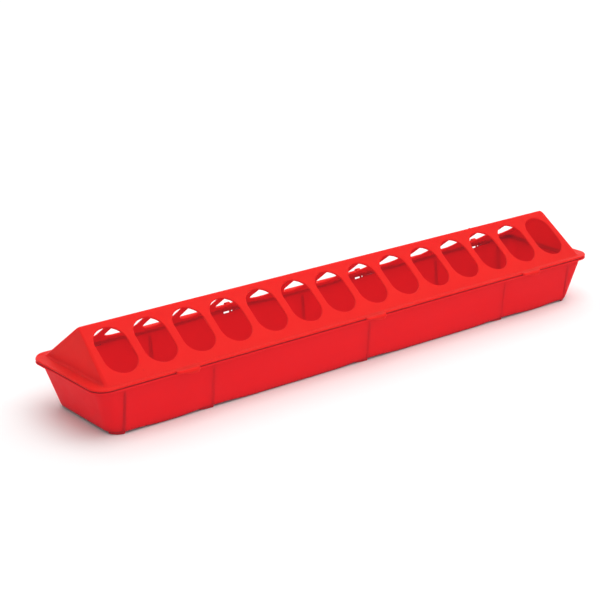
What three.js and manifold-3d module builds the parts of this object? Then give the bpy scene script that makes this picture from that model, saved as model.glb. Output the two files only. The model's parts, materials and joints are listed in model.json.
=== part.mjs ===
// Flip-top trough feeder for poultry: a long open tray with a hipped, perforated cover that swings open on
// clips along its rear edge. Units are millimetres, +Z is up, X runs along the trough, -Y is the front.
// The origin is at the middle of the footprint, on the surface that the feet stand on.
import * as THREE from "three";
import { mergeVertices } from "three/addons/utils/BufferGeometryUtils.js";
import Module from "manifold-3d";

// Overall size.
const LENGTH = 500;
const WIDTH = 100;
const HEIGHT = 71.5;

// Sheet, seam and clearance sizes.
const WALL = 1.5;
const FLANGE_T = 1.6;
const FIT_GAP = 0.3;
const CUT_MARGIN = 2;

// Flanges, shared by the tray and the cover.
const FLANGE_HALF_X = LENGTH / 2;
const FLANGE_HALF_Y = 46.8;
const FLANGE_CORNER_R = 12;
const TRAY_FLANGE_INSET = 1;
const COVER_SEAT_Z = 38.5;
const COVER_FLANGE_TOP = COVER_SEAT_Z + FLANGE_T;
const TRAY_TOP_Z = COVER_SEAT_Z - FIT_GAP;
const TRAY_FLANGE_UNDER = TRAY_TOP_Z - FLANGE_T;

// Tray.
const TRAY_TOP_HALF_X = 246;
const TRAY_TOP_HALF_Y = 43.7;
const TRAY_BOTTOM_HALF_X = 234.8;
const TRAY_BOTTOM_HALF_Y = 39.5;
const TRAY_TOP_CORNER_R = 9;
const TRAY_BOTTOM_CORNER_R = 12;
const TRAY_UNDER_Z = 1.4;
const TRAY_FLOOR_Z = TRAY_UNDER_Z + FLANGE_T;
const TRAY_HEEL_R = 1.2;
const TRAY_BOWL_R = 2;

// Roof of the cover.
const ROOF_ANGLE = THREE.MathUtils.degToRad(37);
const RIDGE_R = 2;
const RIDGE_HALF_X = 235.4;
const GABLE_FOOT_HALF_X = 240;

// Lip under the cover that drops just inside the tray's wall.
const LIP_OUTER_HALF_X = 239;
const LIP_OUTER_HALF_Y = TRAY_TOP_HALF_Y - WALL - FIT_GAP;
const LIP_T = 1;
const LIP_DROP = 1.2;
const LIP_ROOT = 0.8;
const LIP_CORNER_R = 3;

const APEX_Z = HEIGHT + RIDGE_R * (1 / Math.cos(ROOF_ANGLE) - 1);

// Feeding holes: oblong, side by side down each slope.
const HOLES_PER_SIDE = 14;
const HOLE_PITCH = 33.46;
const HOLE_WIDTH = 26.6;
const HOLE_LENGTH = 40;
const HOLE_CENTRE_DOWN_SLOPE = 25.75;

// Rear hinge: a rod moulded in the tray's flange, and a clip of the cover that wraps it.
const HINGE_ZONES_X = [-204, -68, 68, 204];
const HINGE_Y = 47.6;
const HINGE_Z = COVER_SEAT_Z + 0.4;
const ROD_R = 1.1;
const CLIP_INNER_R = ROD_R + FIT_GAP;
const CLIP_OUTER_R = WIDTH / 2 - HINGE_Y;
const CLIP_WIDTH = 4;
const CLIP_SHIFT_X = -3.5;
const CLIP_MOUTH_DEG = [200, 268];
const SLOT_LENGTH = 26;
const LUG_LENGTH = 3;
const COVER_NOTCH_DEPTH = 1.3;

// Windows through the rear wall beside each hinge: their start and end from its middle, and their height.
const WINDOWS = [
  { from: -11.2, to: -5, height: 1.9 },
  { from: -4, to: -1.8, height: 1.3 },
  { from: -0.5, to: 12, height: 0.6 },
];
const WINDOW_TOP_Z = TRAY_FLANGE_UNDER - 0.2;

// Front snap tabs.
const TABS_X = [-175, 2, 175];
const TAB_LENGTH = 20;
const TAB_CORNER_R = 2.6;
const TAB_LIP_T = 1.3;
const TAB_BOTTOM_Z = 35.3;
const TAB_LEFT_RISE = 2.4;
const TAB_BEAD_T = 0.9;
const TAB_BEAD_REACH = 1.4;

// Wall ribs, each ending in a foot.
const RIBS_X = [-225.5, -149, 0, 149, 225.5];
const RIB_WIDTH = 1.4;
const RIB_PROUD = 0.5;
const RIB_TOP_Z = 34;
const FOOT_RIGHT = 1.6;
const FOOT_PAD = 5;
const FOOT_RAMP = 7.5;
const LEG_PAD = 3;
const LEG_RAMP = 0.4;
const FOOT_DEPTH = 7;

// Curve resolution: points along a rounded corner, and half the points along each arc of an outline.
const CORNER_STEPS = 6;
const HOLE_END_STEPS = 6;
const ROUND_STEPS = 6;
const CUTTER_DEPTH = 8;
const EDGE_STEPS = 3;

const PLASTIC_RED = 0xd6201f;

const wasm = await Module();
wasm.setup();

// A closed geometry as a solid that can be joined and cut.
function solidOf(geometry) {
  const bare = geometry.clone();
  bare.deleteAttribute("normal");
  bare.deleteAttribute("uv");
  const merged = mergeVertices(bare, 1e-4);
  const mesh = new wasm.Mesh({
    numProp: 3,
    vertProperties: merged.attributes.position.array,
    triVerts: new Uint32Array(merged.index.array),
  });
  return new wasm.Manifold(mesh);
}

// A named mesh from a finished solid.
function pieceOf(name, solid) {
  const mesh = solid.getMesh();
  const geometry = new THREE.BufferGeometry();
  geometry.setAttribute("position", new THREE.BufferAttribute(mesh.vertProperties, 3));
  geometry.setIndex(new THREE.BufferAttribute(mesh.triVerts, 1));
  const flat = geometry.toNonIndexed();
  flat.computeVertexNormals();
  const material = new THREE.MeshStandardMaterial({ color: PLASTIC_RED, roughness: 0.42, metalness: 0 });
  const piece = new THREE.Mesh(flat, material);
  piece.name = name;
  return piece;
}

// A flat outline pulled along one axis, centred on `middle` along that axis.
// The outline's two coordinates are (Y, Z) for "x", (X, Z) for "y" and (X, Y) for "z".
function pulled(outline, axis, middle, length) {
  const shape = new THREE.ExtrudeGeometry(outline, {
    depth: length,
    bevelEnabled: false,
    curveSegments: ROUND_STEPS,
  });
  shape.translate(0, 0, -length / 2);
  const turn = new THREE.Matrix4();
  const along = new THREE.Vector3();
  if (axis === "x") {
    turn.makeBasis(new THREE.Vector3(0, 1, 0), new THREE.Vector3(0, 0, 1), new THREE.Vector3(1, 0, 0));
    along.set(middle, 0, 0);
  } else if (axis === "y") {
    turn.makeBasis(new THREE.Vector3(1, 0, 0), new THREE.Vector3(0, 0, 1), new THREE.Vector3(0, -1, 0));
    along.set(0, middle, 0);
  } else {
    along.set(0, 0, middle);
  }
  shape.applyMatrix4(turn);
  shape.translate(along.x, along.y, along.z);
  return solidOf(shape);
}

// A box between two opposite corners.
function boxBetween(low, high) {
  const size = new THREE.Vector3().subVectors(high, low);
  const box = new THREE.BoxGeometry(size.x, size.y, size.z);
  const middle = new THREE.Vector3().addVectors(low, high).multiplyScalar(0.5);
  box.translate(middle.x, middle.y, middle.z);
  return solidOf(box);
}

// A polygon from a list of [a, b] pairs.
function polygon(points) {
  return new THREE.Shape(points.map(([a, b]) => new THREE.Vector2(a, b)));
}

// The corners of a rounded rectangle, as one ring of points at height z.
function roundedRing(halfX, halfY, radius, z) {
  const ring = [];
  const quarters = [[1, 1], [-1, 1], [-1, -1], [1, -1]];
  quarters.forEach(([sx, sy], quarter) => {
    for (let step = 0; step <= CORNER_STEPS; step++) {
      const angle = (quarter + step / CORNER_STEPS) * Math.PI / 2;
      const x = sx * (halfX - radius) + radius * Math.cos(angle);
      const y = sy * (halfY - radius) + radius * Math.sin(angle);
      ring.push(new THREE.Vector3(x, y, z));
    }
  });
  return ring;
}

// A closed solid through a stack of rings with equal point counts, lowest first.
function loft(rings) {
  const count = rings[0].length;
  const points = rings.flat();
  const faces = [];
  for (let level = 0; level + 1 < rings.length; level++) {
    for (let i = 0; i < count; i++) {
      const a = level * count + i;
      const b = level * count + (i + 1) % count;
      faces.push(a, b, b + count, a, b + count, a + count);
    }
  }
  const top = (rings.length - 1) * count;
  for (let i = 1; i + 1 < count; i++) {
    faces.push(0, i + 1, i, top, top + i, top + i + 1);
  }
  const geometry = new THREE.BufferGeometry().setFromPoints(points);
  geometry.setIndex(faces);
  return solidOf(geometry);
}

// Half-width of the tray's outside at height z.
function trayHalfY(z) {
  const rise = (z - TRAY_UNDER_Z) / (TRAY_TOP_Z - TRAY_UNDER_Z);
  return THREE.MathUtils.lerp(TRAY_BOTTOM_HALF_Y, TRAY_TOP_HALF_Y, rise);
}

// Half-length of the tray's outside at height z.
function trayHalfX(z) {
  const rise = (z - TRAY_UNDER_Z) / (TRAY_TOP_Z - TRAY_UNDER_Z);
  return THREE.MathUtils.lerp(TRAY_BOTTOM_HALF_X, TRAY_TOP_HALF_X, rise);
}

// Corner radius of the tray's outside at height z.
function trayCornerR(z) {
  const rise = (z - TRAY_UNDER_Z) / (TRAY_TOP_Z - TRAY_UNDER_Z);
  return THREE.MathUtils.lerp(TRAY_BOTTOM_CORNER_R, TRAY_TOP_CORNER_R, rise);
}

// A tapered tub, `inset` inside the tray's outside, with a rounded lower edge.
function tub(inset, baseZ, topZ, edgeR) {
  const rings = [];
  for (let step = 0; step <= EDGE_STEPS; step++) {
    const angle = (step / EDGE_STEPS) * Math.PI / 2;
    const z = baseZ + edgeR * (1 - Math.cos(angle));
    const pull = inset + edgeR * (1 - Math.sin(angle));
    rings.push(roundedRing(trayHalfX(z) - pull, trayHalfY(z) - pull, trayCornerR(z) - inset, z));
  }
  rings.push(roundedRing(trayHalfX(topZ) - inset, trayHalfY(topZ) - inset, trayCornerR(topZ) - inset, topZ));
  return loft(rings);
}

// An upright block with a rounded rectangle as its plan, between two heights.
function roundedBlock(halfX, halfY, radius, lowZ, highZ) {
  return loft([lowZ, highZ].map((z) => roundedRing(halfX, halfY, radius, z)));
}

// The flat rounded rim of the tray or the cover, `inset` inside the cover's.
function flangePlate(lowZ, highZ, inset) {
  return roundedBlock(FLANGE_HALF_X - inset, FLANGE_HALF_Y - inset, FLANGE_CORNER_R - inset, lowZ, highZ);
}

// Notch in the tray's rear flange between the rod's lugs, where the clip swings.
function trayHingeCut(zoneX) {
  const slot = SLOT_LENGTH / 2;
  return boxBetween(
    new THREE.Vector3(zoneX - slot, HINGE_Y - CLIP_OUTER_R - FIT_GAP, TRAY_FLANGE_UNDER - CUT_MARGIN),
    new THREE.Vector3(zoneX + slot, FLANGE_HALF_Y + CUT_MARGIN, TRAY_TOP_Z + CUT_MARGIN),
  );
}

// One window's cutter, through the tray's rear wall just under its flange.
function windowCut(zoneX, { from, to, height }) {
  return boxBetween(
    new THREE.Vector3(zoneX + from, TRAY_TOP_HALF_Y - WALL - CUT_MARGIN, WINDOW_TOP_Z - height),
    new THREE.Vector3(zoneX + to, TRAY_TOP_HALF_Y + CUT_MARGIN, WINDOW_TOP_Z),
  );
}

function makeTray() {
  const outside = tub(0, TRAY_UNDER_Z, TRAY_TOP_Z, TRAY_HEEL_R);
  const inside = tub(WALL, TRAY_FLOOR_Z, TRAY_TOP_Z + CUT_MARGIN, TRAY_BOWL_R);
  let tray = outside.add(flangePlate(TRAY_FLANGE_UNDER, TRAY_TOP_Z, TRAY_FLANGE_INSET)).subtract(inside);
  for (const zoneX of HINGE_ZONES_X) {
    tray = tray.subtract(trayHingeCut(zoneX));
    for (const window of WINDOWS) {
      tray = tray.subtract(windowCut(zoneX, window));
    }
  }
  return pieceOf("tray", tray);
}

// A rod with a square lug at each end, standing on the edge of the tray's rear flange.
function makeHingeRod(name, zoneX) {
  const reach = SLOT_LENGTH / 2 + LUG_LENGTH;
  const lugRootY = FLANGE_HALF_Y - TRAY_FLANGE_INSET + FIT_GAP;
  const circle = new THREE.Shape().absarc(HINGE_Y, HINGE_Z, ROD_R, 0, Math.PI * 2);
  let rod = pulled(circle, "x", zoneX, 2 * reach);
  for (const side of [-1, 1]) {
    const inner = zoneX + side * (SLOT_LENGTH / 2 + FIT_GAP);
    const outer = zoneX + side * reach;
    const lug = boxBetween(
      new THREE.Vector3(Math.min(inner, outer), lugRootY, TRAY_FLANGE_UNDER),
      new THREE.Vector3(Math.max(inner, outer), HINGE_Y + ROD_R, HINGE_Z + ROD_R),
    );
    rod = rod.add(lug);
  }
  return pieceOf(name, rod);
}

// Outline of the roof's cross-section: two slopes meeting in a rounded ridge.
function roofSection(apexZ, footZ, ridgeR) {
  const footY = (apexZ - footZ) / Math.tan(ROOF_ANGLE);
  const section = new THREE.Shape();
  section.moveTo(-footY, footZ);
  section.lineTo(footY, footZ);
  const centreZ = apexZ - ridgeR / Math.cos(ROOF_ANGLE);
  section.absarc(0, centreZ, ridgeR, Math.PI / 2 - ROOF_ANGLE, Math.PI / 2 + ROOF_ANGLE, false);
  return section;
}

// A hipped roof as a solid: the long section cut to the slant of the two gables.
function hippedRoof(apexZ, footZ, ridgeR, endInset) {
  const slant = (GABLE_FOOT_HALF_X - RIDGE_HALF_X) / (APEX_Z - COVER_FLANGE_TOP);
  const endX = (z) => GABLE_FOOT_HALF_X - endInset - slant * (z - COVER_FLANGE_TOP);
  const prism = pulled(roofSection(apexZ, footZ, ridgeR), "x", 0, LENGTH);
  const ends = polygon([
    [-endX(footZ), footZ],
    [endX(footZ), footZ],
    [endX(apexZ), apexZ],
    [-endX(apexZ), apexZ],
  ]);
  return prism.intersect(pulled(ends, "y", 0, 2 * WIDTH));
}

// One feeding hole's cutter, square to the slope on the given side (-1 front, 1 rear).
function holeCutter(x, side) {
  const endR = HOLE_WIDTH / 2;
  const straight = HOLE_LENGTH / 2 - endR;
  const oblong = new THREE.Shape();
  oblong.absarc(0, straight, endR, 0, Math.PI, false);
  oblong.absarc(0, -straight, endR, Math.PI, 2 * Math.PI, false);
  const cutter = new THREE.ExtrudeGeometry(oblong, {
    depth: CUTTER_DEPTH,
    bevelEnabled: false,
    curveSegments: HOLE_END_STEPS,
  });
  cutter.translate(0, 0, -CUTTER_DEPTH / 2);
  cutter.rotateX(-side * ROOF_ANGLE);
  const y = side * HOLE_CENTRE_DOWN_SLOPE * Math.cos(ROOF_ANGLE);
  const z = APEX_Z - HOLE_CENTRE_DOWN_SLOPE * Math.sin(ROOF_ANGLE);
  cutter.translate(x, y, z);
  return solidOf(cutter);
}

// Cut in the cover's rear flange that clears the rod, its lugs and the clip's seat.
function coverHingeCut(zoneX) {
  const far = FLANGE_HALF_Y + CUT_MARGIN;
  const lowZ = COVER_SEAT_Z - CUT_MARGIN;
  const highZ = COVER_FLANGE_TOP + CUT_MARGIN;
  const rodReach = SLOT_LENGTH / 2 + LUG_LENGTH + FIT_GAP;
  const clipX = zoneX + CLIP_SHIFT_X;
  const clipReach = CLIP_WIDTH / 2 + FIT_GAP;
  const overRod = boxBetween(
    new THREE.Vector3(zoneX - rodReach, FLANGE_HALF_Y - COVER_NOTCH_DEPTH, lowZ),
    new THREE.Vector3(zoneX + rodReach, far, highZ),
  );
  const overClip = boxBetween(
    new THREE.Vector3(clipX - clipReach, HINGE_Y - CLIP_OUTER_R - FIT_GAP, lowZ),
    new THREE.Vector3(clipX + clipReach, far, highZ),
  );
  return overRod.add(overClip);
}

// The ring-shaped lip that locates the cover inside the tray.
function coverLip() {
  const low = COVER_SEAT_Z - LIP_DROP;
  const high = COVER_SEAT_Z + LIP_ROOT;
  const outer = roundedBlock(LIP_OUTER_HALF_X, LIP_OUTER_HALF_Y, LIP_CORNER_R, low, high);
  const hollowX = LIP_OUTER_HALF_X - LIP_T;
  const hollowY = LIP_OUTER_HALF_Y - LIP_T;
  const hollow = roundedBlock(hollowX, hollowY, LIP_CORNER_R - LIP_T, low - CUT_MARGIN, high + CUT_MARGIN);
  return outer.subtract(hollow);
}

function makeCover() {
  const outside = hippedRoof(APEX_Z, COVER_SEAT_Z, RIDGE_R, 0);
  const innerApex = APEX_Z - WALL / Math.cos(ROOF_ANGLE);
  const inside = hippedRoof(innerApex, COVER_SEAT_Z - CUT_MARGIN, RIDGE_R / 2, WALL);
  let cover = outside.add(flangePlate(COVER_SEAT_Z, COVER_FLANGE_TOP, 0)).subtract(inside).add(coverLip());
  for (let i = 0; i < HOLES_PER_SIDE; i++) {
    const x = (i - (HOLES_PER_SIDE - 1) / 2) * HOLE_PITCH;
    cover = cover.subtract(holeCutter(x, -1)).subtract(holeCutter(x, 1));
  }
  for (const zoneX of HINGE_ZONES_X) {
    cover = cover.subtract(coverHingeCut(zoneX));
  }
  return pieceOf("cover", cover);
}

// A C-shaped clip round the rod. Its mouth faces down and in, and its back meets the cover's flange.
function makeHingeClip(name, zoneX) {
  const [mouthStart, mouthEnd] = CLIP_MOUTH_DEG.map(THREE.MathUtils.degToRad);
  const section = new THREE.Shape();
  section.absarc(HINGE_Y, HINGE_Z, CLIP_OUTER_R, mouthEnd, mouthStart + 2 * Math.PI, false);
  section.absarc(HINGE_Y, HINGE_Z, CLIP_INNER_R, mouthStart, mouthEnd - 2 * Math.PI, true);
  const clipX = zoneX + CLIP_SHIFT_X;
  const ring = pulled(section, "x", clipX, CLIP_WIDTH);
  const heel = boxBetween(
    new THREE.Vector3(clipX - CLIP_WIDTH / 2, HINGE_Y - CLIP_OUTER_R, COVER_SEAT_Z),
    new THREE.Vector3(clipX + CLIP_WIDTH / 2, HINGE_Y - CLIP_INNER_R - FIT_GAP, COVER_FLANGE_TOP),
  );
  return pieceOf(name, ring.add(heel));
}

// A flat finger tongue on the cover's front flange, with a lip that drops past the tray's flange.
function makeSnapTab(name, tabX) {
  const rootY = -FLANGE_HALF_Y - FIT_GAP;
  const tipY = -WIDTH / 2;
  const half = TAB_LENGTH / 2;
  const plan = new THREE.Shape();
  plan.moveTo(tabX + half, rootY);
  plan.lineTo(tabX - half, rootY);
  plan.absarc(tabX - half + TAB_CORNER_R, tipY + TAB_CORNER_R, TAB_CORNER_R, Math.PI, 1.5 * Math.PI, false);
  plan.absarc(tabX + half - TAB_CORNER_R, tipY + TAB_CORNER_R, TAB_CORNER_R, 1.5 * Math.PI, 2 * Math.PI, false);
  const height = COVER_FLANGE_TOP - TAB_BOTTOM_Z;
  const blank = pulled(plan, "z", TAB_BOTTOM_Z + height / 2, height);
  const hollow = boxBetween(
    new THREE.Vector3(tabX - LENGTH, tipY + TAB_LIP_T, TAB_BOTTOM_Z + TAB_BEAD_T),
    new THREE.Vector3(tabX + LENGTH, rootY + CUT_MARGIN, COVER_SEAT_Z),
  );
  const underBead = boxBetween(
    new THREE.Vector3(tabX - LENGTH, tipY + TAB_LIP_T + TAB_BEAD_REACH, TAB_BOTTOM_Z - CUT_MARGIN),
    new THREE.Vector3(tabX + LENGTH, rootY + CUT_MARGIN, COVER_SEAT_Z),
  );
  const lipSlant = polygon([
    [tabX - half, TAB_BOTTOM_Z + TAB_LEFT_RISE],
    [tabX + half - TAB_CORNER_R, TAB_BOTTOM_Z],
    [tabX + LENGTH, TAB_BOTTOM_Z],
    [tabX + LENGTH, HEIGHT],
    [tabX - half, HEIGHT],
  ]);
  const tab = blank.subtract(hollow).subtract(underBead).intersect(pulled(lipSlant, "y", 0, 2 * WIDTH));
  return pieceOf(name, tab);
}

// A foot under the tray's edge: a flat pad with a ramp up to its left, kept inside the tray's own outline.
function footSolid(ribX, side, pad, ramp) {
  const topZ = TRAY_UNDER_Z - FIT_GAP;
  const right = ribX + FOOT_RIGHT;
  const profile = polygon([
    [right, 0],
    [right, topZ],
    [right - pad - ramp, topZ],
    [right - pad, 0],
  ]);
  const outerY = TRAY_BOTTOM_HALF_Y - FIT_GAP;
  const slab = pulled(profile, "y", side * (outerY - FOOT_DEPTH / 2), FOOT_DEPTH);
  const outerX = TRAY_BOTTOM_HALF_X - FIT_GAP;
  return slab.intersect(roundedBlock(outerX, outerY, TRAY_BOTTOM_CORNER_R - FIT_GAP, -CUT_MARGIN, HEIGHT));
}

// A thin rib down the outside of a long wall, ending in a low foot. The feet at the right end are narrow legs.
function makeRibFoot(name, ribX, side) {
  const wallGap = (z) => trayHalfY(z) + FIT_GAP;
  const underGapZ = TRAY_UNDER_Z - FIT_GAP;
  const outerY = TRAY_BOTTOM_HALF_Y - FIT_GAP;
  const innerY = outerY - FOOT_DEPTH;
  const ribSection = polygon([
    [wallGap(RIB_TOP_Z) * side, RIB_TOP_Z],
    [(wallGap(RIB_TOP_Z) + RIB_PROUD) * side, RIB_TOP_Z - RIB_PROUD],
    [(wallGap(TRAY_UNDER_Z) + RIB_PROUD) * side, TRAY_UNDER_Z],
    [outerY * side, 0],
    [innerY * side, 0],
    [innerY * side, underGapZ],
    [wallGap(underGapZ) * side, underGapZ],
  ]);
  const rib = pulled(ribSection, "x", ribX, RIB_WIDTH);
  const [pad, ramp] = ribX === Math.max(...RIBS_X) ? [LEG_PAD, LEG_RAMP] : [FOOT_PAD, FOOT_RAMP];
  const foot = footSolid(ribX, side, pad, ramp);
  return pieceOf(name, rib.add(foot));
}

const feeder = new THREE.Group();
feeder.add(makeTray());
feeder.add(makeCover());
HINGE_ZONES_X.forEach((zoneX, i) => {
  feeder.add(makeHingeRod(`hinge_rod_${i + 1}`, zoneX));
  feeder.add(makeHingeClip(`hinge_clip_${i + 1}`, zoneX));
});
TABS_X.forEach((tabX, i) => {
  feeder.add(makeSnapTab(`snap_tab_${i + 1}`, tabX));
});
RIBS_X.forEach((ribX, i) => {
  feeder.add(makeRibFoot(`foot_front_${i + 1}`, ribX, -1));
  feeder.add(makeRibFoot(`foot_rear_${i + 1}`, ribX, 1));
});

export default feeder;
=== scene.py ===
import json
import math

import bmesh
import bpy
import numpy as np
from mathutils import Matrix, Vector
from mathutils.geometry import delaunay_2d_cdt


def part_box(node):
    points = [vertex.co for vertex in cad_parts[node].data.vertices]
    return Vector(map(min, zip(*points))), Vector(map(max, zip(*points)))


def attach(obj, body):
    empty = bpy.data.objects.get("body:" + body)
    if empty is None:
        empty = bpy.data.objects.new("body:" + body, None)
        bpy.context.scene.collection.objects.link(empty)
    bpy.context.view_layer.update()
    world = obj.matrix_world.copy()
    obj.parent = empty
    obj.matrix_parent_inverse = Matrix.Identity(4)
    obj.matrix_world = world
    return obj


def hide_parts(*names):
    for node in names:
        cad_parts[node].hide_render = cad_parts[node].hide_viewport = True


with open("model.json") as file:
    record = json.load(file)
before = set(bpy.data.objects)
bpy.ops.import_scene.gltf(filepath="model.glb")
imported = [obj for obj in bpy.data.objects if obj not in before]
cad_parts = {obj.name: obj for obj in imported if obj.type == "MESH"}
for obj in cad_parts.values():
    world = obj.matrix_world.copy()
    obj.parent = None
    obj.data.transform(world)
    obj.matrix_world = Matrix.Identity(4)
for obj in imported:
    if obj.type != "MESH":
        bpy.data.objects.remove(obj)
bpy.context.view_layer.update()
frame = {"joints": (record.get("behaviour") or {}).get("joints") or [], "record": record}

MM = 0.001

# Places taken from the frame.
COVER_LOW, COVER_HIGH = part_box("cover")
TRAY_LOW, TRAY_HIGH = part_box("tray")
LIP_LOW_Z = COVER_LOW.z
LIP_DROP = 1.2 * MM
SEAT_Z = COVER_LOW.z + LIP_DROP
RIDGE_Z = COVER_HIGH.z
TRAY_TOP_Z = TRAY_HIGH.z
TRAY_UNDER_Z = TRAY_LOW.z
FLANGE_X = COVER_HIGH.x
FLANGE_Y = -COVER_LOW.y
HINGE = Vector(frame["joints"][0]["pos_m"])
ZONES = [sum(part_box(f"hinge_rod_{i}")[side].x for side in (0, 1)) / 2 for i in (1, 2, 3, 4)]
OPENINGS = frame["record"]["physics"]["openings"]
HOLES_X = sorted(sum(corner[0] for corner in box["box_m"]) / 2
                 for box in OPENINGS if box["name"].startswith("feeding_hole_front"))

# Sheet thicknesses and edge roundings of both mouldings.
WALL = 1.5 * MM
FLANGE_T = 1.6 * MM
FLANGE_CORNER_R = 12 * MM
EDGE_R = 0.5 * MM
FLANGE_EDGE_R = 0.65 * MM
RIM_R = 0.55 * MM
TRAY_FILLET = 0.8 * MM    # hollow under the tray's flange
SEAM = 0.2 * MM      # how far the tray's rim sinks under its place, which lets a shadow into the seam
WELD = 0.5 * MM      # how far a small piece sinks into the moulding that it grows from

# Cover: two slopes between two steep gables.
ROOF_ANGLE = math.radians(37)
RIDGE_R = 2 * MM
GABLE_TOP_R = 2.7 * MM
CREST_HALF = 0.3 * MM    # half-width of the flat strip along the ridge
GABLE_FOOT_X = FLANGE_X - 10 * MM
RIDGE_END_X = FLANGE_X - 14.6 * MM
HIP_R = 3.2 * MM
ROOF_FILLET = 1.8 * MM
HOLE_WIDTH = 26.6 * MM
HOLE_LENGTH = 40 * MM
HOLE_DOWN = 25.75 * MM    # from the slopes' meeting line to a hole's middle, along the slope

# Tray: a tapered tub with a rounded heel.
TRAY_TOP = (246 * MM, 43.7 * MM)
TRAY_BASE = (234.8 * MM, 39.5 * MM)
TRAY_CORNERS = (12 * MM, 9 * MM)    # outside corner radius at the bottom and at the top
HEEL_R = 1.8 * MM
BOWL_R = 2.2 * MM
FOOT_INSET = 0.8 * MM
FOOT_DEPTH = 6.5 * MM
RIB_PROUD = 0.34 * MM
RIB_SHOW_INSIDE = 0.12 * MM
RIB_HALF = 1.5 * MM

# Lip under the cover that drops just inside the tray's wall.
LIP = (239 * MM, TRAY_TOP[1] - WALL - 0.3 * MM)
LIP_T = 1 * MM
LIP_CORNER_R = 3 * MM

# Small stubs that the moulding left: on the front slope, on the ridge and under the tray's front rim.
SPECK = (-206 * MM, -37.5 * MM)
BURR_X = 148 * MM
RIM_STUB = (82 * MM, -45.9 * MM)

# Sag of the rear walls' rims between the hinges, which hold the rims up and stay on their own axis.
SAG = 1.7 * MM
SAG_DEEPEST_Y = 42 * MM
SAG_END_Y = 45.8 * MM
SAG_MIDDLE_X = -60 * MM
SAG_HALF_X = 240 * MM
SAG_HOLD, SAG_EASE = 14 * MM, 30 * MM

# The tray's floor hangs lower between its feet.
FEET_X = [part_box(f"foot_front_{i}")[1].x for i in range(1, 6)]
BELLY = 1.2 * MM
BELLY_START, BELLY_RUN, BELLY_HEIGHT = 9 * MM, 26 * MM, 9 * MM

# Resolution.
CORNER_STEPS = 12
LONG_STEPS = 56
SHORT_STEPS = 10
ARC_STEPS = 6
RIM_STEPS = 3
END_STEPS = 20
PATCH = 9 * MM
CORNER_SHARE = 0.8    # most of a loop's half-width that a corner may take
SHARP_DEG = 40        # edges that turn more than this stay crisp in the shading

QUARTER = math.pi / 2
CORNERS = ((1, 1), (-1, 1), (-1, -1), (1, -1))
REAR = (CORNER_STEPS, CORNER_STEPS + LONG_STEPS)
FRONT = (3 * CORNER_STEPS + LONG_STEPS + SHORT_STEPS, 3 * CORNER_STEPS + 2 * LONG_STEPS + SHORT_STEPS)


# --- Mesh tools ---

def ring(half_x, half_y, corner, z):
    """A closed loop of points: a rounded rectangle with evenly spaced stations along its four sides."""
    corner = min(corner, CORNER_SHARE * half_y)
    arcs = []
    for turn, (sx, sy) in enumerate(CORNERS):
        middle = Vector((sx * (half_x - corner), sy * (half_y - corner), z))
        angles = [(turn + step / CORNER_STEPS) * QUARTER for step in range(CORNER_STEPS + 1)]
        arcs.append([middle + corner * Vector((math.cos(a), math.sin(a), 0)) for a in angles])
    points = []
    for turn, arc in enumerate(arcs):
        steps = (LONG_STEPS, SHORT_STEPS)[turn % 2]
        start, end = arc[-1], arcs[(turn + 1) % 4][0]
        points += arc + [start.lerp(end, step / steps) for step in range(1, steps)]
    return points


def within(points, polygon):
    """For each 2-D point, whether it lies inside the polygon."""
    inside = np.zeros(len(points), bool)
    x, y = points[:, 0], points[:, 1]
    for (ax, ay), (bx, by) in zip(polygon, np.roll(polygon, -1, 0)):
        if ay != by:
            crosses = ((ay > y) != (by > y)) & (x < (bx - ax) * (y - ay) / (by - ay) + ax)
            inside ^= crosses
    return inside


def clearance(points, polygon):
    """For each 2-D point, its distance to the polygon's nearest edge."""
    nearest = np.full(len(points), np.inf)
    for a, b in zip(polygon, np.roll(polygon, -1, 0)):
        edge = b - a
        share = np.clip(((points - a) @ edge) / max(edge @ edge, 1e-18), 0, 1)
        nearest = np.minimum(nearest, np.linalg.norm(points - a - share[:, None] * edge, axis=1))
    return nearest


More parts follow.
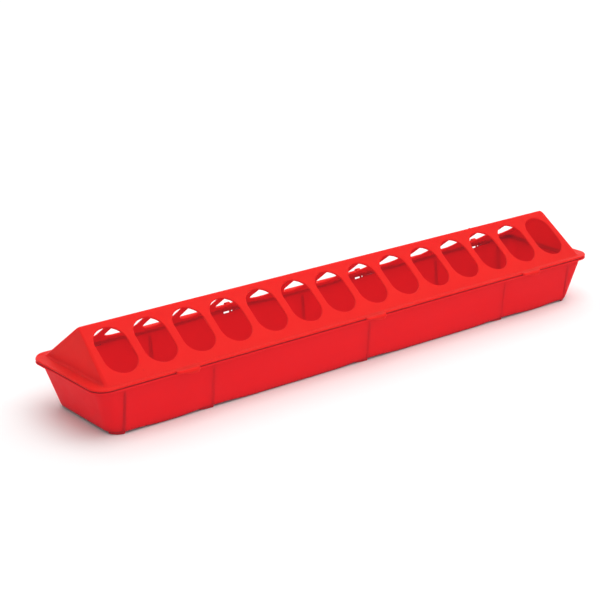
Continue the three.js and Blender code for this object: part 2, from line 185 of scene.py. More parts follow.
class Skin:
    """A surface built from loops of points, bands between loops and filled flat regions."""

    def __init__(self):
        self.points = []
        self.faces = []

    def loop(self, points):
        first = len(self.points)
        self.points += [Vector(p) for p in points]
        return list(range(first, len(self.points)))

    def band(self, lower, upper, skip=()):
        """Quads between two loops of equal length, except along the sides named in `skip`."""
        count = len(lower)
        left_out = {i for first, last in skip for i in range(first, last)}
        for i in range(count):
            if i not in left_out:
                j = (i + 1) % count
                self.faces.append((lower[i], lower[j], upper[j], upper[i]))

    def bands(self, loops):
        for lower, upper in zip(loops, loops[1:]):
            self.band(lower, upper)

    def fill(self, outer, holes=(), across=Vector((1, 0, 0)), along=Vector((0, 1, 0))):
        """Triangles over the flat region inside one loop and outside the others."""
        rims = [list(outer)] + [list(hole) for hole in holes]
        ids = [i for rim in rims for i in rim]
        origin = self.points[ids[0]]

        def flat(i):
            away = (self.points[i] - origin) / MM
            return away.dot(across), away.dot(along)

        outlines = [np.array([flat(i) for i in rim]) for rim in rims]
        corners = np.concatenate(outlines)
        edges, first = [], 0
        for rim in rims:
            edges += [(first + i, first + (i + 1) % len(rim)) for i in range(len(rim))]
            first += len(rim)
        step = PATCH / MM
        low, high = outlines[0].min(0), outlines[0].max(0)
        grid = np.array([(x, y) for x in np.arange(low[0] + step / 2, high[0], step)
                         for y in np.arange(low[1] + step / 2, high[1], step)]).reshape(-1, 2)
        if len(grid):
            keep = within(grid, outlines[0]) & (clearance(grid, outlines[0]) > step / 3)
            for outline in outlines[1:]:
                keep &= ~within(grid, outline) & (clearance(grid, outline) > step / 3)
            grid = grid[keep]
        ids += self.loop([origin + (x * across + y * along) * MM for x, y in grid.tolist()])
        spots = [Vector(p) for p in corners.tolist() + grid.tolist()]
        found = delaunay_2d_cdt(spots, edges, [], 0, 1e-5)
        owners = [ids[origins[0]] for origins in found[3]]
        centres = np.array([[sum(found[0][i][k] for i in face) / 3 for k in (0, 1)] for face in found[2]])
        keep = within(centres, outlines[0])
        for outline in outlines[1:]:
            keep &= ~within(centres, outline)
        for face, kept in zip(found[2], keep):
            if kept:
                self.faces.append(tuple(owners[i] for i in face))

    def piece(self, name):
        """The finished surface as an object, with its faces turned outwards."""
        mesh = bpy.data.meshes.new(name)
        work = bmesh.new()
        corners = [work.verts.new(p) for p in self.points]
        for face in self.faces:
            work.faces.new([corners[i] for i in face])
        bmesh.ops.recalc_face_normals(work, faces=work.faces)
        if work.calc_volume(signed=True) < 0:
            bmesh.ops.reverse_faces(work, faces=work.faces)
        open_edges = [e for e in work.edges if len(e.link_faces) != 2]
        if open_edges:
            raise ValueError(f"{name} has {len(open_edges)} open edges, first at {open_edges[0].verts[0].co}")
        work.to_mesh(mesh)
        work.free()
        return placed(name, mesh)


def placed(name, mesh):
    piece = bpy.data.objects.new(name, mesh)
    bpy.context.scene.collection.objects.link(piece)
    return piece


def cut(piece, boxes):
    """Takes boxes, each given by two corners, out of a closed piece."""
    mesh = bpy.data.meshes.new("cutter")
    work = bmesh.new()
    for low, high in boxes:
        middle = (Vector(low) + Vector(high)) / 2
        size = Vector(high) - Vector(low)
        bmesh.ops.create_cube(work, matrix=Matrix.Translation(middle) @ Matrix.Diagonal((*size, 1)))
    work.to_mesh(mesh)
    work.free()
    cutter = placed("cutter", mesh)
    boolean = piece.modifiers.new("cut", "BOOLEAN")
    boolean.operation, boolean.solver, boolean.object = "DIFFERENCE", "EXACT", cutter
    boolean.use_self = True
    settle(piece)
    bpy.data.objects.remove(cutter)


def bowed(piece):
    """Lets the rear rims and the tray's floor sag a little, as long thin mouldings do."""
    for vertex in piece.data.vertices:
        x, y, z = vertex.co
        held = min(max((min(abs(x - zone) for zone in ZONES) - SAG_HOLD) / SAG_EASE, 0), 1)
        along = max(1 - ((x - SAG_MIDDLE_X) / SAG_HALF_X) ** 2, 0) * held ** 2 * (3 - 2 * held)
        across = min(max(y / SAG_DEEPEST_Y, 0), 1)
        across = min(across, max((SAG_END_Y - y) / (SAG_END_Y - SAG_DEEPEST_Y), 0))
        upward = min(max((z - TRAY_UNDER_Z) / (TRAY_TOP_Z - TRAY_UNDER_Z), 0), 1)
        vertex.co.z -= SAG * along * across ** 2 * (3 - 2 * across) * upward ** 2
        free = min(max((min(abs(x - foot) for foot in FEET_X) - BELLY_START) / BELLY_RUN, 0), 1)
        vertex.co.z -= BELLY * free ** 2 * (3 - 2 * free) * max(1 - (z - TRAY_UNDER_Z) / BELLY_HEIGHT, 0)
    return piece


def settle(piece):
    """Makes what the modifiers give the piece's own mesh."""
    evaluated = piece.evaluated_get(bpy.context.evaluated_depsgraph_get())
    mesh = bpy.data.meshes.new_from_object(evaluated)
    piece.modifiers.clear()
    piece.data = mesh


def smooth(piece):
    """Smooth shading, with normals that keep the flat faces flat between their rounded edges."""
    for face in piece.data.polygons:
        face.use_smooth = True
    piece.data.set_sharp_from_angle(angle=math.radians(SHARP_DEG))
    weighted = piece.modifiers.new("even_normals", "WEIGHTED_NORMAL")
    weighted.keep_sharp = True
    return piece


# --- Cover ---

def roof_half_y(z, apex, ridge_r, foot_z, fillet):
    """Half-width of the roof at height z: a rounded ridge, a straight slope, and a hollow at its foot."""
    lean = math.tan(ROOF_ANGLE)
    centre_z = apex - ridge_r / math.cos(ROOF_ANGLE)
    if z > centre_z + ridge_r * math.cos(ROOF_ANGLE):
        return math.sqrt(max(ridge_r ** 2 - (z - centre_z) ** 2, 0))
    straight = (apex - z) / lean
    rise = z - foot_z
    if fillet and rise < fillet * (1 - math.cos(ROOF_ANGLE)):
        tip = (apex - foot_z) / lean + fillet * math.tan(ROOF_ANGLE / 2)
        return tip - math.sqrt(max(fillet ** 2 - (fillet - rise) ** 2, 0))
    return straight


GABLE_LEAN = (GABLE_FOOT_X - RIDGE_END_X) / (RIDGE_Z - SEAT_Z - FLANGE_T)
GABLE_ANGLE = QUARTER - math.atan(GABLE_LEAN)


def roof_half_x(z, top_z, foot_z, foot_x, end_r, fillet):
    """Half-length of the roof at height z: the gable's straight slant, rounded over at the top."""
    slant = foot_x - GABLE_LEAN * (z - foot_z)
    down = top_z - z
    top_x = foot_x - GABLE_LEAN * (top_z - foot_z)
    bend = end_r * math.tan(GABLE_ANGLE / 2)
    if down < end_r * (1 - math.cos(GABLE_ANGLE)):
        return top_x - bend + math.sqrt(max(end_r ** 2 - (end_r - down) ** 2, 0))
    rise = z - foot_z
    if fillet and rise < fillet * (1 - math.cos(GABLE_ANGLE)):
        tip = foot_x + fillet * math.tan(GABLE_ANGLE / 2)
        return tip - math.sqrt(max(fillet ** 2 - (fillet - rise) ** 2, 0))
    return slant


def oblong(centre_x, centre_down, spread):
    """A feeding hole's outline on the slope, as (x, distance down the slope), `spread` outside its edge."""
    radius = HOLE_WIDTH / 2
    straight = HOLE_LENGTH / 2 - radius
    outline = []
    for end in (-1, 1):
        for step in range(END_STEPS + 1):
            angle = math.pi * step / END_STEPS
            x = centre_x - end * (radius + spread) * math.cos(angle)
            outline.append((x, centre_down + end * (straight + (radius + spread) * math.sin(angle))))
    return outline


def make_cover():
    skin = Skin()
    top_z = SEAT_Z + FLANGE_T
    apex = RIDGE_Z + RIDGE_R * (1 / math.cos(ROOF_ANGLE) - 1)
    inner_apex = apex - WALL / math.cos(ROOF_ANGLE)
    inner_ridge_r, inner_end_r = RIDGE_R / 2, GABLE_TOP_R - WALL
    inner_top = inner_apex - inner_ridge_r * (1 / math.cos(ROOF_ANGLE) - 1)

    def crown_levels(high, ridge_r, end_r):
        """Heights of the rings that round the ridge, and then the top of the gables."""
        first = math.asin(CREST_HALF / ridge_r)
        angles = [first + (ROOF_ANGLE - first) * step / ARC_STEPS for step in range(ARC_STEPS + 1)]
        crown = [high - ridge_r * (1 - math.cos(a)) for a in angles]
        end = high - end_r * (1 - math.cos(GABLE_ANGLE))
        return crown + [crown[-1] + (end - crown[-1]) * step / ARC_STEPS for step in range(1, ARC_STEPS + 1)]

    def foot_levels(foot_z, fillet):
        """Heights of the rings that round the foot of the gables, and then the foot of the slopes."""
        gable, slope = (fillet * (1 - math.cos(angle)) for angle in (GABLE_ANGLE, ROOF_ANGLE))
        falling = [gable + (slope - gable) * step / ARC_STEPS for step in range(ARC_STEPS)]
        falling += [fillet * (1 - math.cos(ROOF_ANGLE * (1 - step / ARC_STEPS)))
                    for step in range(ARC_STEPS + 1)]
        return [foot_z + rise for rise in falling]

    def outer_ring(z):
        half_y = roof_half_y(z, apex, RIDGE_R, top_z, ROOF_FILLET)
        half_x = roof_half_x(z, RIDGE_Z, top_z, GABLE_FOOT_X, GABLE_TOP_R, ROOF_FILLET)
        share = (RIDGE_Z - z) / (RIDGE_Z - top_z)
        return ring(half_x, half_y, HIP_R * (0.35 + 0.65 * share), z)

    def inner_ring(z):
        half_y = roof_half_y(z, inner_apex, inner_ridge_r, SEAT_Z, 0)
        half_x = roof_half_x(z, inner_top, top_z, GABLE_FOOT_X - WALL, inner_end_r, 0)
        share = (RIDGE_Z - z) / (RIDGE_Z - top_z)
        return ring(half_x, half_y, HIP_R * (0.3 + 0.3 * share), z)

    def slope_point(side, u, v, depth):
        down = Vector((0, side * math.cos(ROOF_ANGLE), -math.sin(ROOF_ANGLE)))
        out = Vector((0, side * math.sin(ROOF_ANGLE), math.cos(ROOF_ANGLE)))
        return Vector((u, 0, apex)) + v * down - depth * out

    # Feeding holes: the rim rounds over outside and inside, and runs straight between.
    rims = {-1: ([], []), 1: ([], [])}
    for side in (-1, 1):
        for x in HOLES_X:
            loops = []
            for step in range(RIM_STEPS + 1):
                a = QUARTER * step / RIM_STEPS
                loops.append((RIM_R * (1 - math.sin(a)), RIM_R * (1 - math.cos(a))))
            inside_r = RIM_R / 2
            for step in range(RIM_STEPS + 1):
                a = QUARTER * step / RIM_STEPS
                loops.append((inside_r * (1 - math.cos(a)), WALL - inside_r * (1 - math.sin(a))))
            made = [skin.loop([slope_point(side, u, v, depth) for u, v in oblong(x, HOLE_DOWN, spread)])
                    for spread, depth in loops]
            skin.bands(made)
            rims[side][0].append(made[0])
            rims[side][1].append(made[-1])

    def shell(rings_at, upper, lower, which):
        rings_up = [skin.loop(rings_at(z)) for z in upper]
        rings_down = [skin.loop(rings_at(z)) for z in lower]
        skin.fill(rings_up[0])
        skin.bands(rings_up)
        skin.band(rings_up[-1], rings_down[0], skip=(REAR, FRONT))
        skin.bands(rings_down)
        for side, (first, last) in ((1, REAR), (-1, FRONT)):
            high = rings_up[-1][first:last + 1]
            low = rings_down[0][first:last + 1]
            down = Vector((0, side * math.cos(ROOF_ANGLE), -math.sin(ROOF_ANGLE)))
            skin.fill(high + low[::-1], rims[side][which], along=down)
        return rings_down[-1]

    lip_inner = LIP[1] - LIP_T
    meet_z = inner_apex - lip_inner * math.tan(ROOF_ANGLE)
    foot = shell(outer_ring, crown_levels(RIDGE_Z, RIDGE_R, GABLE_TOP_R), foot_levels(top_z, ROOF_FILLET), 0)
    mouth = shell(inner_ring, crown_levels(inner_top, inner_ridge_r, inner_end_r), [top_z, meet_z], 1)

    turned = [mouth]
    for turn in range(2 * RIM_STEPS + 1):
        a = QUARTER * turn / RIM_STEPS
        inset = LIP_T / 2 * (1 + math.cos(a))
        z = LIP_LOW_Z + LIP_T / 2 * (1 - math.sin(a))
        turned.append(skin.loop(ring(LIP[0] - inset, LIP[1] - inset, LIP_CORNER_R - inset, z)))
    turned.append(skin.loop(ring(LIP[0], LIP[1], LIP_CORNER_R, SEAT_Z)))
    skin.bands(turned + flange_edge(skin, SEAT_Z, top_z) + [foot])
    cover = skin.piece("cover_shell")
    cut(cover, [box for x in ZONES for box in cover_notch(x)])
    slope_out = (0, -math.sin(ROOF_ANGLE), math.cos(ROOF_ANGLE))
    speck = (SPECK[0], SPECK[1], apex + SPECK[1] * math.tan(ROOF_ANGLE))
    nibs = [make_nib(speck, slope_out, 0.6 * MM, 0.4 * MM),
            make_nib((BURR_X, 0, RIDGE_Z - 0.1 * MM), (0, 0, 1), 1.2 * MM, 0.5 * MM)]
    return joined("cover_shell", [cover] + nibs)


# --- Flanges ---

CLEAR = 0.3 * MM
CLIP_BOXES = [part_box(f"hinge_clip_{i}") for i in (1, 2, 3, 4)]
CLIP_SHIFT = (CLIP_BOXES[0][0].x + CLIP_BOXES[0][1].x) / 2 - ZONES[0]
CLIP_HALF = (CLIP_BOXES[0][1].x - CLIP_BOXES[0][0].x) / 2
CLIP_R = CLIP_BOXES[0][1].y - HINGE.y
ROD_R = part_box("hinge_rod_1")[1].y - HINGE.y
SLOT_HALF = 13 * MM
LUG = 3 * MM
NOTCH_DEPTH = 1.3 * MM
WINDOWS = ((-11.2, -5, 1.9), (-4, -1.8, 1.3), (-0.5, 12, 0.6))    # from, to and height, beside each hinge
WINDOW_DROP = 0.2 * MM


def rear_box(x, half_x, depth_y, low_z, high_z):
    """Corners of a cut from the flange's rear edge in to depth_y."""
    return (x - half_x, depth_y, low_z), (x + half_x, FLANGE_Y + FLANGE_T, high_z)


def cover_notch(x):
    """Cuts in the cover's rear edge that clear the rod and the clip's seat."""
    span = (SEAT_Z - FLANGE_T, SEAT_Z + 2 * FLANGE_T)
    return [rear_box(x, SLOT_HALF + LUG + CLEAR, FLANGE_Y - NOTCH_DEPTH, *span),
            rear_box(x + CLIP_SHIFT, CLIP_HALF + CLEAR, HINGE.y - CLIP_R - CLEAR, *span)]


def tray_notch(x):
    """Cuts in the tray's rear edge: room for the clip to swing, and windows through the wall."""
    span = (TRAY_TOP_Z - 2 * FLANGE_T, TRAY_TOP_Z + FLANGE_T)
    top = TRAY_TOP_Z - SEAM - FLANGE_T - WINDOW_DROP
    inner_y, outer_y = TRAY_TOP[1] - 2 * WALL, TRAY_TOP[1] + WALL
    windows = [((x + start * MM, inner_y, top - height * MM), (x + end * MM, outer_y, top))
               for start, end, height in WINDOWS]
    return windows + [rear_box(x, SLOT_HALF, HINGE.y - CLIP_R - CLEAR, *span)]


def flange_edge(skin, low_z, high_z):
    """The rounded edge of a flange as loops, from the lower face to the upper face."""
    loops = []
    for z, way in ((low_z, 1), (high_z, -1)):
        for step in range(RIM_STEPS + 1):
            a = QUARTER * (step if way > 0 else RIM_STEPS - step) / RIM_STEPS
            inset = FLANGE_EDGE_R * (1 - math.sin(a))
            level = z + way * FLANGE_EDGE_R * (1 - math.cos(a))
            loops.append(skin.loop(ring(FLANGE_X - inset, FLANGE_Y - inset, FLANGE_CORNER_R - inset, level)))
    return loops


# --- Tray ---

def rise_of(z):
    return (z - TRAY_UNDER_Z) / (TRAY_TOP_Z - TRAY_UNDER_Z)


def tray_half(z, axis):
    return TRAY_BASE[axis] + rise_of(z) * (TRAY_TOP[axis] - TRAY_BASE[axis])


def corner_at(z):
    return TRAY_CORNERS[0] + rise_of(z) * (TRAY_CORNERS[1] - TRAY_CORNERS[0])


def tray_ring(z, inset):
    return ring(tray_half(z, 0) - inset, tray_half(z, 1) - inset, corner_at(z) - inset, z)


def wall_y(x, z):
    """How far out the tray's long wall stands at x and z, following the rounded corners."""
    radius = corner_at(z)
    past = abs(x) - (tray_half(z, 0) - radius)
    if past <= 0:
        return tray_half(z, 1)
    return tray_half(z, 1) - radius + math.sqrt(max(radius ** 2 - past ** 2, 0))


def make_tray():
    skin = Skin()
    top_z = TRAY_TOP_Z - SEAM
    under_z = top_z - FLANGE_T
    fillet = TRAY_FILLET

    def heel(base_z, radius, inset):
        made = []
        for step in range(ARC_STEPS + 1):
            a = QUARTER * step / ARC_STEPS
            pull = radius * (1 - math.sin(a))
            made.append(skin.loop(tray_ring(base_z + radius * (1 - math.cos(a)), inset + pull)))
        return made

    wall_levels = [0.25, 0.5, 0.75, 1]
    outside = heel(TRAY_UNDER_Z, HEEL_R, 0)
    skin.fill(outside[0])
    low, high = TRAY_UNDER_Z + HEEL_R, under_z - fillet
    outside += [skin.loop(tray_ring(low + (high - low) * t, 0)) for t in wall_levels]
    for step in range(1, RIM_STEPS + 1):
        a = QUARTER * step / RIM_STEPS
        z = under_z - fillet * (1 - math.sin(a))
        outside.append(skin.loop(tray_ring(z, -fillet * (1 - math.cos(a)))))
    skin.bands(outside)

    floor_z = TRAY_UNDER_Z + FLANGE_T
    inside = heel(floor_z, BOWL_R, WALL)
    skin.fill(inside[0])
    low, high = floor_z + BOWL_R, top_z - EDGE_R
    inside += [skin.loop(tray_ring(low + (high - low) * t, WALL)) for t in wall_levels]
    for step in range(1, RIM_STEPS + 1):
        a = QUARTER * step / RIM_STEPS
        z = top_z - EDGE_R * (1 - math.sin(a))
        inside.append(skin.loop(tray_ring(z, WALL - EDGE_R * (1 - math.cos(a)))))
    skin.bands(inside)

    skin.bands([outside[-1]] + flange_edge(skin, under_z, top_z) + [inside[-1]])
    tray = skin.piece("tray_shell")
    cut(tray, [box for x in ZONES for box in tray_notch(x)])
    nib = make_nib((*RIM_STUB, under_z), (0, 0, -1), 0.8 * MM, 0.9 * MM)
    return joined("tray_shell", [tray, nib])


# --- Small features ---

RIB_FROM_RIGHT = 1.6 * MM    # from a foot's right end to the middle of its rib
LEG_LENGTH = 5 * MM          # a foot shorter than this is a narrow leg
FOOT_SHAPE = (5 * MM, 7.5 * MM)    # lengths of a foot's flat pad and of the ramp beside it
LEG_SHAPE = (3 * MM, 0.4 * MM)

def swept(name, sections, across, along):
    """A closed piece through a row of flat sections with equal point counts, capped at both ends."""
    skin = Skin()
    loops = [skin.loop(section) for section in sections]
    skin.bands(loops)
    for end in (loops[0], loops[-1]):
        skin.fill(end, (), Vector(across), Vector(along))
    return skin.piece(name)


def joined(name, pieces):
    """One closed piece out of several that overlap."""
    whole = pieces[0]
    whole.name = name
    for other in pieces[1:]:
        union = whole.modifiers.new("join", "BOOLEAN")
        union.operation, union.solver, union.object = "UNION", "EXACT", other
        settle(whole)
        bpy.data.objects.remove(other)
    return smooth(bowed(whole))


def arc(centre, radius, first, last, steps):
    """Points (a, b) along an arc, with its angles in degrees."""
    angles = [math.radians(first + (last - first) * step / steps) for step in range(steps + 1)]
    return [(centre[0] + radius * math.cos(a), centre[1] + radius * math.sin(a)) for a in angles]


def make_nib(place, out, radius, height):
    """The stub that a moulding gate or an ejector pin leaves: a low crumpled button."""
    out = Vector(out)
    across = out.cross(Vector((1, 0, 0))).normalized()
    along = out.cross(across)
    sections = []
    for rise, share in ((-0.8, 1), (0.1, 1), (0.55, 0.85), (0.85, 0.6), (1, 0.3)):
        outline = arc((0, 0), radius * share, 0, 340, 17)
        middle = Vector(place) + rise * height * out
        sections.append([middle + a * across + b * along for a, b in outline])
    return swept("nib", sections, across, along)


def rounded_box(name, low, high, radius):
    """A box with rounded edges between two corners, as sections along X."""
    (x0, y0, z0), (x1, y1, z1) = low, high
    sections = []
    for end, way in ((x0, 1), (x1, -1)):
        for step in range(RIM_STEPS + 1):
            a = QUARTER * (step if way > 0 else RIM_STEPS - step) / RIM_STEPS
            inset = radius * (1 - math.sin(a))
            x = end + way * radius * (1 - math.cos(a))
            r = radius - inset + 0.02 * MM
            outline = []
            for turn, (cy, cz) in enumerate(((y1, z1), (y0, z1), (y0, z0), (y1, z0))):
                sy, sz = CORNERS[turn]
                middle = (cy - sy * (inset + r), cz - sz * (inset + r))
                outline += arc(middle, r, 90 * turn, 90 * turn + 90, RIM_STEPS)
            sections.append([(x, y, z) for y, z in outline])
    return swept(name, sections, (0, 1, 0), (0, 0, 1))


def make_rod(index, x):
    """The hinge rod and the two lugs that hold it, grown out of the notch in the tray's rear flange."""
    reach = SLOT_HALF + LUG
    spots = [x - reach + 1 * MM, x + reach - 1 * MM]
    bar = swept("bar", [[(spot, HINGE.y + dy, HINGE.z + dz) for dy, dz in arc((0, 0), ROD_R, 0, 345, 23)]
                        for spot in np.linspace(*spots, 9).tolist()], (0, 1, 0), (0, 0, 1))
    lugs = []
    for side in (-1, 1):
        near, far = x + side * (SLOT_HALF + CLEAR), x + side * reach
        low = (min(near, far), TRAY_HIGH.y - WELD, TRAY_TOP_Z - FLANGE_T + 0.1 * MM)
        high = (max(near, far), HINGE.y + ROD_R, HINGE.z + ROD_R)
        lugs.append(rounded_box("lug", low, high, 0.4 * MM))
    return joined(f"hinge_rod_{index}_moulded", [bar] + lugs)


def make_clip(index, x):
    """A C-shaped clip round the rod, with a heel that grows out of the cover's rear flange."""
    middle = x + CLIP_SHIFT
    inner_r = ROD_R + CLEAR
    sections = []
    for end in (-1, 1):
        for step in range(RIM_STEPS + 1):
            a = QUARTER * (step if end < 0 else RIM_STEPS - step) / RIM_STEPS
            inset = 0.3 * MM * (1 - math.sin(a))
            spot = middle + end * (CLIP_HALF - 0.3 * MM * (1 - math.cos(a)))
            slack = math.degrees(inset / CLIP_R)
            outline = arc((HINGE.y, HINGE.z), CLIP_R - inset, -92 + slack, 200 - slack, 28)
            outline += arc((HINGE.y, HINGE.z), inner_r + inset, 200 - slack, -92 + slack, 28)
            sections.append([(spot, y, z) for y, z in outline])
    hook = swept("hook", sections, (0, 1, 0), (0, 0, 1))
    low = (middle - CLIP_HALF + 0.1 * MM, HINGE.y - CLIP_R - CLEAR - WELD, SEAT_Z + 0.08 * MM)
    high = (middle + CLIP_HALF - 0.1 * MM, HINGE.y - inner_r - CLEAR, SEAT_Z + FLANGE_T - 0.04 * MM)
    heel = rounded_box("heel", low, high, 0.3 * MM)
    return joined(f"hinge_clip_{index}_moulded", [hook, heel])


TAB_EDGE = -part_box("snap_tab_1")[0].y
TAB_LOW_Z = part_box("snap_tab_1")[0].z
TAB_NOSE_R = 1.9 * MM
TAB_CORNER, TAB_LIP, TAB_BEAD = 2.6 * MM, 0.8 * MM, 0.9 * MM
VISOR_HEIGHT, VISOR_OVERHANG = 2.7 * MM, 1.5 * MM    # a tab's curved top, and how far it hangs over its lip


def make_tab(index):
    """A finger tab: a rounded tongue on the front flange whose lip drops towards its right end."""
    low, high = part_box(f"snap_tab_{index}")
    corner, lip, bead = TAB_CORNER, TAB_LIP, TAB_BEAD
    root = FLANGE_Y - WELD
    top = SEAT_Z + FLANGE_T - 0.03 * MM
    sections = []
    turns = [math.radians(8 + 82 * step / 8) for step in range(9)]
    flat = np.linspace(low.x + corner, high.x - corner, 16).tolist()[1:-1]
    spots = [low.x + corner * (1 - math.cos(a)) for a in turns] + flat
    spots += [high.x - corner * (1 - math.cos(a)) for a in reversed(turns)]
    for spot in spots:
        near = min(spot - low.x, high.x - spot)
        round_off = corner - math.sqrt(max(corner ** 2 - max(corner - near, 0) ** 2, 0))
        tip = TAB_EDGE - round_off
        share = min(max((spot - low.x - 3 * MM) / (high.x - low.x - 6 * MM), 0), 1)
        bottom = SEAT_Z - 0.5 * MM - (SEAT_Z - 0.5 * MM - TAB_LOW_Z) * math.sin(share * QUARTER) ** 1.2
        visor = min(VISOR_HEIGHT, 0.72 * (top - bottom))
        nose = min(TAB_NOSE_R, 0.75 * visor, 0.8 * (tip - root))
        face = tip - min(VISOR_OVERHANG, 0.4 * (tip - root))
        thick = tip - face + min(lip, 0.25 * (tip - root))
        ledge = min(bottom + bead, SEAT_Z - 0.35 * MM)
        foot_in = min(bead, tip - thick - FLANGE_Y + 0.05 * MM) if tip - thick > FLANGE_Y else 0.0
        heel = min(0.3 * MM, 0.2 * nose)
        outline = [(root, top)]
        outline += arc((tip - nose, top - nose), nose, 90, 0, 10)
        outline += arc((tip - heel, top - visor + heel), heel, 0, -90, 4)
        outline += [(face, top - visor + 0.1 * MM)]
        outline += arc((face - heel, bottom + heel), heel, 0, -90, 3)
        outline += [(tip - thick - foot_in, bottom + 0.1 * MM), (tip - thick - foot_in, ledge)]
        outline += [(tip - thick, ledge + 0.05 * MM), (tip - thick, SEAT_Z + 0.05 * MM)]
        outline += [(root, SEAT_Z + 0.05 * MM)]
        sections.append([(spot, -y, z) for y, z in outline])
    tab = swept(f"snap_tab_{index}_moulded", sections, (0, 1, 0), (0, 0, 1))
    return smooth(tab)


def rib_strip(x, side, top_z):
    """A low rounded rib that runs down the long wall and shows faintly on its inside."""
    sections = []
    low_z = TRAY_UNDER_Z + 0.3 * MM
    for step in range(25):
        z = low_z + (top_z - low_z) * step / 24
        fade = min((top_z - z) / (3 * MM), 1)
        proud = RIB_PROUD * math.sqrt(fade) - 0.1 * MM
        outer = wall_y(x, max(z, TRAY_UNDER_Z + HEEL_R))
        if z < TRAY_UNDER_Z + HEEL_R:
            outer -= 0.5 * (TRAY_UNDER_Z + HEEL_R - z)
        outline = []
        for angle in range(0, 181, 15):
            a = math.radians(angle)
            swell = (proud + 0.25 * MM) * math.sin(a) ** 2
            outline.append((x + RIB_HALF * math.cos(a), side * (outer - 0.25 * MM + swell)))
        shows = z > TRAY_UNDER_Z + FLANGE_T + BOWL_R and abs(x) < TRAY_BASE[0] - TRAY_CORNERS[0]
        inner = outer - WALL if shows else outer - WALL / 2
        depth = RIB_SHOW_INSIDE * math.sqrt(fade) if shows else 0
        for angle in range(0, 181, 30):
            a = math.radians(angle)
            back_y = inner + 0.2 * MM - (depth + 0.2 * MM) * math.sin(a)
            outline.append((x - RIB_HALF * math.cos(a), side * back_y))
        sections.append([(px, py, z) for px, py in outline])
    return swept("rib", sections, (1, 0, 0), (0, 1, 0))


def make_foot(name, side):
    """A rib and the low foot that it ends in: a pad with a ramp up to its left."""
    low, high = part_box(name)
    right = high.x
    x = right - RIB_FROM_RIGHT
    is_leg = high.x - low.x < LEG_LENGTH
    pad, ramp = LEG_SHAPE if is_leg else FOOT_SHAPE
    left = max(right - pad - ramp, low.x)
    spots = np.linspace(left, right - pad, 7).tolist()[:-1] + np.linspace(right - pad, right, 9).tolist()
    top = TRAY_UNDER_Z + FLANGE_T - 0.1 * MM
    sections = []
    for spot in spots:
        end = min(right - spot, 0.35 * MM)
        nip = 0.35 * MM - math.sqrt(max((0.35 * MM) ** 2 - (0.35 * MM - end) ** 2, 0))
        rise = max(right - pad - spot, 0) / ramp * (TRAY_UNDER_Z - CLEAR)
        base = max(rise - 0.1 * MM, 0) + nip
        outer = wall_y(spot, TRAY_UNDER_Z) - FOOT_INSET - nip
        inner = min(TRAY_BASE[1] - FOOT_INSET - FOOT_DEPTH + nip, outer - 1 * MM)
        r = 0.3 * MM
        outline = arc((outer - r, base + r), r, 0, -90, 4) + arc((inner + r, base + r), r, -90, -180, 4)
        outline += [(inner, top), (outer, top)]
        sections.append([(spot, side * py, pz) for py, pz in outline])
    foot = swept("foot", sections, (0, 1, 0), (0, 0, 1))
    rib = rib_strip(x, side, high.z)
    return joined(f"{name}_moulded", [foot, rib])


# --- Materials ---

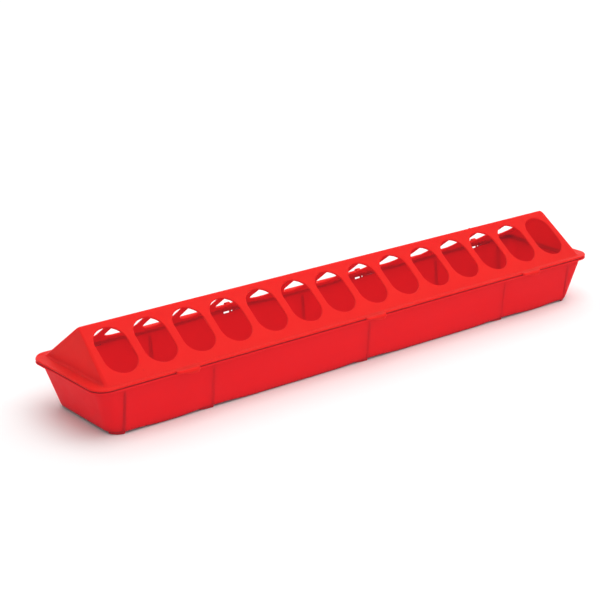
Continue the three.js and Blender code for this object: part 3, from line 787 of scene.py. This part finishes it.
def moulded_red(name, colour, deep, seed, gloss, rim):
    """Moulded polypropylene: faint cloudy flow marks, uneven skin, painted shade that darkens crevices and
    recesses, edges rubbed paler.
    """
    material = bpy.data.materials.new(name)
    material.use_nodes = True
    nodes, links = material.node_tree.nodes, material.node_tree.links
    shader = nodes["Principled BSDF"]
    shader.inputs["IOR"].default_value = 1.49
    shader.inputs["Specular IOR Level"].default_value = gloss
    shader.inputs["Subsurface Radius"].default_value = (1, 0.08, 0.06)
    shader.inputs["Subsurface Scale"].default_value = 8 * MM
    place = nodes.new("ShaderNodeTexCoord")

    def noise(scale, detail, stretch, offset):
        turn = nodes.new("ShaderNodeMapping")
        turn.inputs["Scale"].default_value = stretch
        turn.inputs["Location"].default_value = (seed * 1.7 + offset, seed * 0.9, offset)
        links.new(place.outputs["Object"], turn.inputs["Vector"])
        cloud = nodes.new("ShaderNodeTexNoise")
        cloud.inputs["Scale"].default_value = scale
        cloud.inputs["Detail"].default_value = detail
        links.new(turn.outputs["Vector"], cloud.inputs["Vector"])
        return cloud.outputs["Fac"]

    def spread(source, low, high, from_low=0.3, from_high=0.7):
        ranged = nodes.new("ShaderNodeMapRange")
        links.new(source, ranged.inputs["Value"])
        limits = {"From Min": from_low, "From Max": from_high, "To Min": low, "To Max": high}
        for socket, value in limits.items():
            ranged.inputs[socket].default_value = value
        return ranged.outputs["Result"]

    def blend(factor, first, second):
        mix = nodes.new("ShaderNodeMix")
        mix.data_type = "RGBA"
        links.new(factor, mix.inputs["Factor"])
        for socket, value in ((mix.inputs["A"], first), (mix.inputs["B"], second)):
            if isinstance(value, tuple):
                socket.default_value = (*value, 1)
            else:
                links.new(value, socket)
        return mix.outputs["Result"]

    # The rims are thick, so less light passes through them than through the walls.
    height = nodes.new("ShaderNodeSeparateXYZ")
    links.new(place.outputs["Object"], height.inputs["Vector"])
    links.new(spread(height.outputs["Z"], 0.2, 0.75, *rim), shader.inputs["Subsurface Weight"])

    clouds = noise(28, 3, (0.35, 1, 1), 0.0)
    body = blend(spread(clouds, 0, 1), deep, colour)
    geometry = nodes.new("ShaderNodeNewGeometry")
    rubbed = spread(geometry.outputs["Pointiness"], 0, 0.5, 0.52, 0.60)
    patchy = nodes.new("ShaderNodeMath")
    patchy.operation = "MULTIPLY"
    links.new(rubbed, patchy.inputs[0])
    links.new(spread(noise(60, 2, (1, 1, 1), 4.0), 0.2, 1), patchy.inputs[1])
    pale = tuple(min(c * 1.12 + 0.012, 1) for c in colour)
    worn = blend(patchy.outputs["Value"], body, pale)
    # Painted shade: where ambient occlusion finds a recess (under a flange or a tab, or in a seam), the base
    # colour darkens towards half its value.
    shade_occlusion = nodes.new("ShaderNodeAmbientOcclusion")
    shade_occlusion.samples = 6
    shade_occlusion.inputs["Distance"].default_value = 10 * MM
    painted_shade = tuple(c * 0.5 for c in colour)
    links.new(blend(spread(shade_occlusion.outputs["AO"], 1, 0, 0.1, 0.8), worn, painted_shade), shader.inputs["Base Color"])
    links.new(spread(noise(90, 4, (0.6, 1, 1), 2.0), 0.36, 0.48), shader.inputs["Roughness"])

    grain = nodes.new("ShaderNodeBump")
    grain.inputs["Strength"].default_value = 0.12
    grain.inputs["Distance"].default_value = 0.05 * MM
    links.new(noise(1400, 2, (1, 1, 1), 6.0), grain.inputs["Height"])
    sinks = nodes.new("ShaderNodeBump")
    sinks.inputs["Strength"].default_value = 0.25
    sinks.inputs["Distance"].default_value = 0.6 * MM
    links.new(noise(45, 1, (0.5, 1, 1), 8.0), sinks.inputs["Height"])
    links.new(grain.outputs["Normal"], sinks.inputs["Normal"])
    links.new(sinks.outputs["Normal"], shader.inputs["Normal"])
    return material


# --- Stage ---

FLOOR_HALF = 30    # metres: the floor runs out far behind the view
WORLD_DIM, WORLD_BRIGHT = 0.41, 1.23    # the surroundings' strength on the left and on the right
BLACK_LEVEL = (0, -0.011, -0.015)    # keeps the deepest red of the picture from clipping in green and blue

def make_floor():
    mesh = bpy.data.meshes.new("floor")
    work = bmesh.new()
    bmesh.ops.create_grid(work, x_segments=1, y_segments=1, size=FLOOR_HALF)
    work.to_mesh(mesh)
    work.free()
    floor = placed("floor", mesh)
    material = bpy.data.materials.new("pale_floor")
    material.use_nodes = True
    shader = material.node_tree.nodes["Principled BSDF"]
    shader.inputs["Base Color"].default_value = (0.9, 0.9, 0.9, 1)
    shader.inputs["Roughness"].default_value = 0.9
    mesh.materials.append(material)


def make_light(name, place, aim, size, power):
    lamp = bpy.data.lights.new(name, "AREA")
    lamp.shape = "RECTANGLE"
    lamp.size, lamp.size_y = size
    lamp.energy = power
    holder = bpy.data.objects.new(name, lamp)
    bpy.context.scene.collection.objects.link(holder)
    holder.location = place
    holder.rotation_euler = (Vector(aim) - Vector(place)).to_track_quat("-Z", "Y").to_euler()


def make_camera():
    """A long lens at the viewing angle of a catalogue picture, from the front left and a little above."""
    yaw, elevation, roll = math.radians(-38.46), math.radians(19.14), math.radians(-0.31)
    distance = 1.24118
    target = Vector((-0.03555, 0, 0.0479))
    level = math.cos(elevation)
    back = Vector((math.sin(yaw) * level, -math.cos(yaw) * level, math.sin(elevation)))
    right = (-back).cross(Vector((0, 0, 1))).normalized()
    up = right.cross(-back)
    right, up = (math.cos(roll) * right + math.sin(roll) * up, math.cos(roll) * up - math.sin(roll) * right)
    camera = bpy.data.objects.new("camera", bpy.data.cameras.new("camera"))
    bpy.context.scene.collection.objects.link(camera)
    turn = Matrix((right, up, back)).transposed().to_4x4()
    camera.matrix_world = Matrix.Translation(target + distance * back) @ turn
    camera.data.sensor_width = 36
    camera.data.lens = 95.17
    camera.data.clip_start, camera.data.clip_end = 0.05, 50
    bpy.context.scene.camera = camera


def make_world():
    world = bpy.data.worlds.new("studio")
    world.use_nodes = True
    nodes, links = world.node_tree.nodes, world.node_tree.links
    place = nodes.new("ShaderNodeTexCoord")
    parts = nodes.new("ShaderNodeSeparateXYZ")
    side = nodes.new("ShaderNodeMapRange")
    limits = {"From Min": -1, "From Max": 1, "To Min": WORLD_DIM, "To Max": WORLD_BRIGHT}
    for socket, value in limits.items():
        side.inputs[socket].default_value = value
    links.new(place.outputs["Generated"], parts.inputs["Vector"])
    links.new(parts.outputs["X"], side.inputs["Value"])
    links.new(side.outputs["Result"], nodes["Background"].inputs["Strength"])
    nodes["Background"].inputs["Color"].default_value = (1, 1, 1, 1)
    bpy.context.scene.world = world


make_camera()
make_world()
make_floor()
make_light("overhead", (0.1, -0.3, 1.5), (0, 0, 0), (1.8, 1.4), 11.5)
make_light("backdrop", (1.4, 1.8, 1.3), (1.4, 1.8, 0), (3.2, 2.4), 14)
view = bpy.context.scene.view_settings
view.view_transform = "Standard"
view.use_curve_mapping = True
view.curve_mapping.black_level = BLACK_LEVEL

rim_low = TRAY_TOP_Z - FLANGE_T
cover_rim = (SEAT_Z - 4 * MM, SEAT_Z)
tray_rim = (rim_low, rim_low - 2 * MM)
cover_red = moulded_red("cover_red", (0.82, 0.011, 0.004), (0.78, 0.008, 0.003), 1, 0.04, cover_rim)
tray_red = moulded_red("tray_red", (0.82, 0.007, 0.009), (0.78, 0.005, 0.007), 2, 0.03, tray_rim)

cover = make_cover()
cover.data.materials.append(cover_red)
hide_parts("cover")
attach(cover, "cover")

tray = make_tray()
tray.data.materials.append(tray_red)
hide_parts("tray")
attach(tray, "tray")

small = [(make_rod(i + 1, x), f"hinge_rod_{i + 1}", "tray") for i, x in enumerate(ZONES)]
small += [(make_clip(i + 1, x), f"hinge_clip_{i + 1}", "cover") for i, x in enumerate(ZONES)]
small += [(make_tab(i), f"snap_tab_{i}", "cover") for i in (1, 2, 3)]
for row, side in (("front", -1), ("rear", 1)):
    small += [(make_foot(f"foot_{row}_{i}", side), f"foot_{row}_{i}", "tray") for i in range(1, 6)]
for piece, node, body in small:
    piece.data.materials.clear()
    piece.data.materials.append(cover_red if body == "cover" else tray_red)
    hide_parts(node)
    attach(piece, body)
